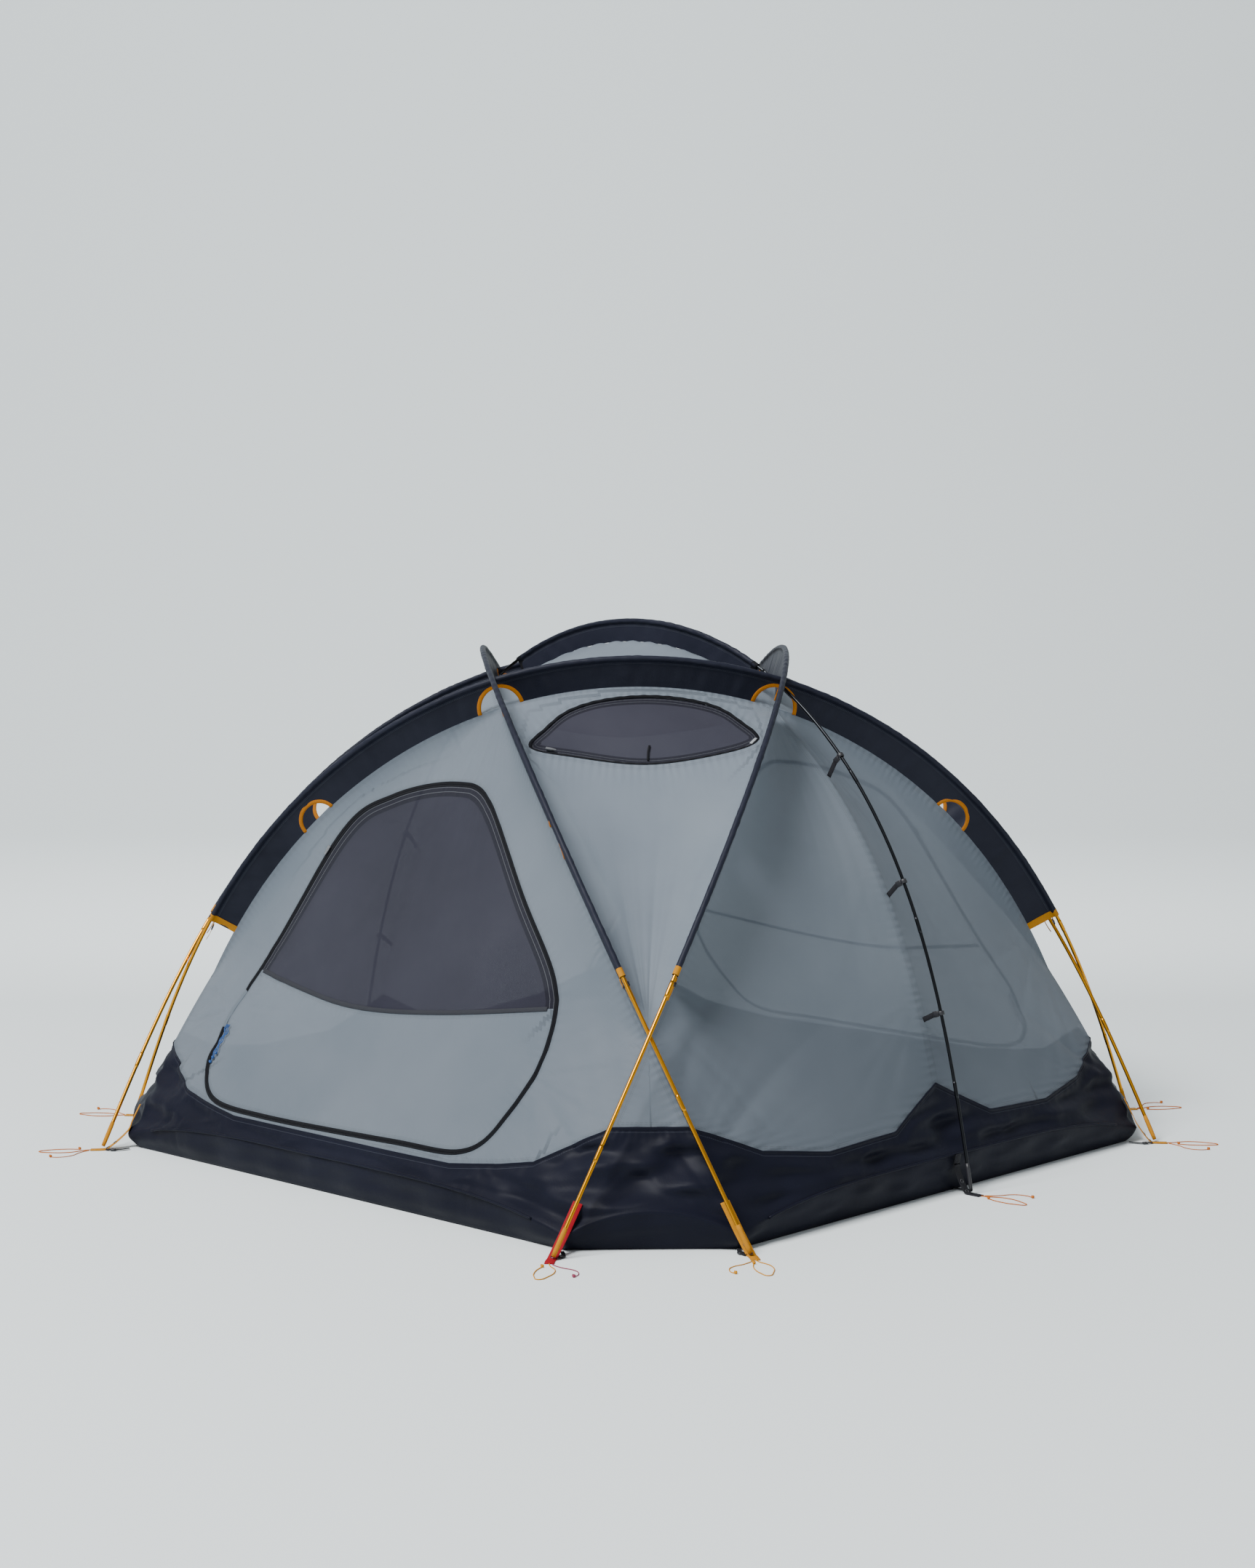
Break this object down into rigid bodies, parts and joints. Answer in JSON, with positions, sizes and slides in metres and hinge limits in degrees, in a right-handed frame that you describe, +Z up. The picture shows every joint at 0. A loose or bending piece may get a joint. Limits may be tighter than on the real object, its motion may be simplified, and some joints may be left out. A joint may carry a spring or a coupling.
{
  "type": "geodesic dome tent",
  "caption": "Free-standing geodesic dome tent with crossing arch poles, fin sleeves, mesh D doors, crown vents and a raised bathtub floor.",
  "frame": {"origin": "centre of the floor, on the ground", "axes": "+Z up, the front door faces -Y, the ridge pole stands in the plane Y = 0 from +X to -X"},
  "size_m": [2.763, 2.7386, 1.4822],
  "materials": {
    "canopy_fabric": "light grey ripstop nylon, slightly translucent",
    "sleeve_fabric": "dark navy coated nylon with orange binding",
    "floor_fabric": "dark navy coated nylon, slight sheen",
    "mesh_fabric": "dark grey insect mesh",
    "gold_pole": "gold anodised tube",
    "black_pole": "black anodised tube",
    "gold_webbing": "woven gold webbing with metal grommets",
    "red_webbing": "woven red webbing with metal grommets",
    "black_webbing": "woven black webbing with metal grommets",
    "clip_plastic": "black moulded clip on a short strap",
    "stake_cord": "thin orange braided cord",
    "zip_metal": "zip slider"
  },
  "bodies": {
    "tent": {"clip_left_1": "clip_plastic", "clip_left_2": "clip_plastic", "clip_left_3": "clip_plastic", "clip_right_1": "clip_plastic", "clip_right_2": "clip_plastic", "clip_right_3": "clip_plastic", "cord_back_left_x": "stake_cord", "cord_back_left_y": "stake_cord", "cord_back_right_x": "stake_cord", "cord_back_right_y": "stake_cord", "cord_front_left_x": "stake_cord", "cord_front_left_y": "stake_cord", "cord_front_right_x": "stake_cord", "cord_front_right_y": "stake_cord", "cord_left": "stake_cord", "cord_right": "stake_cord", "corner_back_left": "canopy_fabric", "corner_back_right": "canopy_fabric", "corner_front_left": "canopy_fabric", "corner_front_right": "canopy_fabric", "crown": "canopy_fabric", "gusset_back_left": "canopy_fabric", "gusset_back_right": "canopy_fabric", "gusset_front_left": "canopy_fabric", "gusset_front_right": "canopy_fabric", "pole_a": "gold_pole", "pole_b": "gold_pole", "pole_c": "gold_pole", "pole_d": "gold_pole", "pole_ridge": "black_pole", "sleeve_a": "sleeve_fabric", "sleeve_b": "sleeve_fabric", "sleeve_c": "sleeve_fabric", "sleeve_crown": "sleeve_fabric", "sleeve_d": "sleeve_fabric", "tab_back_left_x": "gold_webbing", "tab_back_left_y": "gold_webbing", "tab_back_right_x": "gold_webbing", "tab_back_right_y": "gold_webbing", "tab_front_left_x": "gold_webbing", "tab_front_left_y": "gold_webbing", "tab_front_right_x": "gold_webbing", "tab_front_right_y": "red_webbing", "tab_left": "black_webbing", "tab_right": "black_webbing", "tub_floor": "floor_fabric", "vent_back_left": "mesh_fabric", "vent_front_right": "mesh_fabric", "wall_back": "canopy_fabric", "wall_front": "canopy_fabric", "wall_left": "canopy_fabric", "wall_right": "canopy_fabric"},
    "door_front": {"door_front_mesh": "mesh_fabric", "door_front_panel": "canopy_fabric"},
    "door_back": {"door_back_mesh": "mesh_fabric", "door_back_panel": "canopy_fabric"},
    "slider_door_front": {"slider_door_front": "zip_metal"},
    "slider_door_back": {"slider_door_back": "zip_metal"},
    "slider_vent_front_right": {"slider_vent_front_right": "zip_metal"},
    "slider_vent_back_left": {"slider_vent_back_left": "zip_metal"}
  },
  "joints": [
    {"name": "door_front_hinge", "type": "hinge", "parent": "tent", "child": "door_front", "pos_m": [-0.633, -0.956, 0.395], "axis": [-0.3986, -0.299, -0.867], "range_deg": [0, 100]},
    {"name": "door_back_hinge", "type": "hinge", "parent": "tent", "child": "door_back", "pos_m": [0.633, 0.956, 0.395], "axis": [0.3986, 0.299, -0.867], "range_deg": [0, 100]},
    {"name": "door_front_zip", "type": "slide", "parent": "tent", "child": "slider_door_front", "axis": [-0.4322, -0.2638, -0.8623], "range_m": [0, 0.2]},
    {"name": "door_back_zip", "type": "slide", "parent": "tent", "child": "slider_door_back", "axis": [0.4322, 0.2638, -0.8623], "range_m": [0, 0.2]},
    {"name": "vent_front_zip", "type": "slide", "parent": "tent", "child": "slider_vent_front_right", "axis": [0.7884, 0.5938, -0.161], "range_m": [0, 0.165]},
    {"name": "vent_back_zip", "type": "slide", "parent": "tent", "child": "slider_vent_back_left", "axis": [-0.7884, -0.5938, -0.161], "range_m": [0, 0.165]}
  ]
}
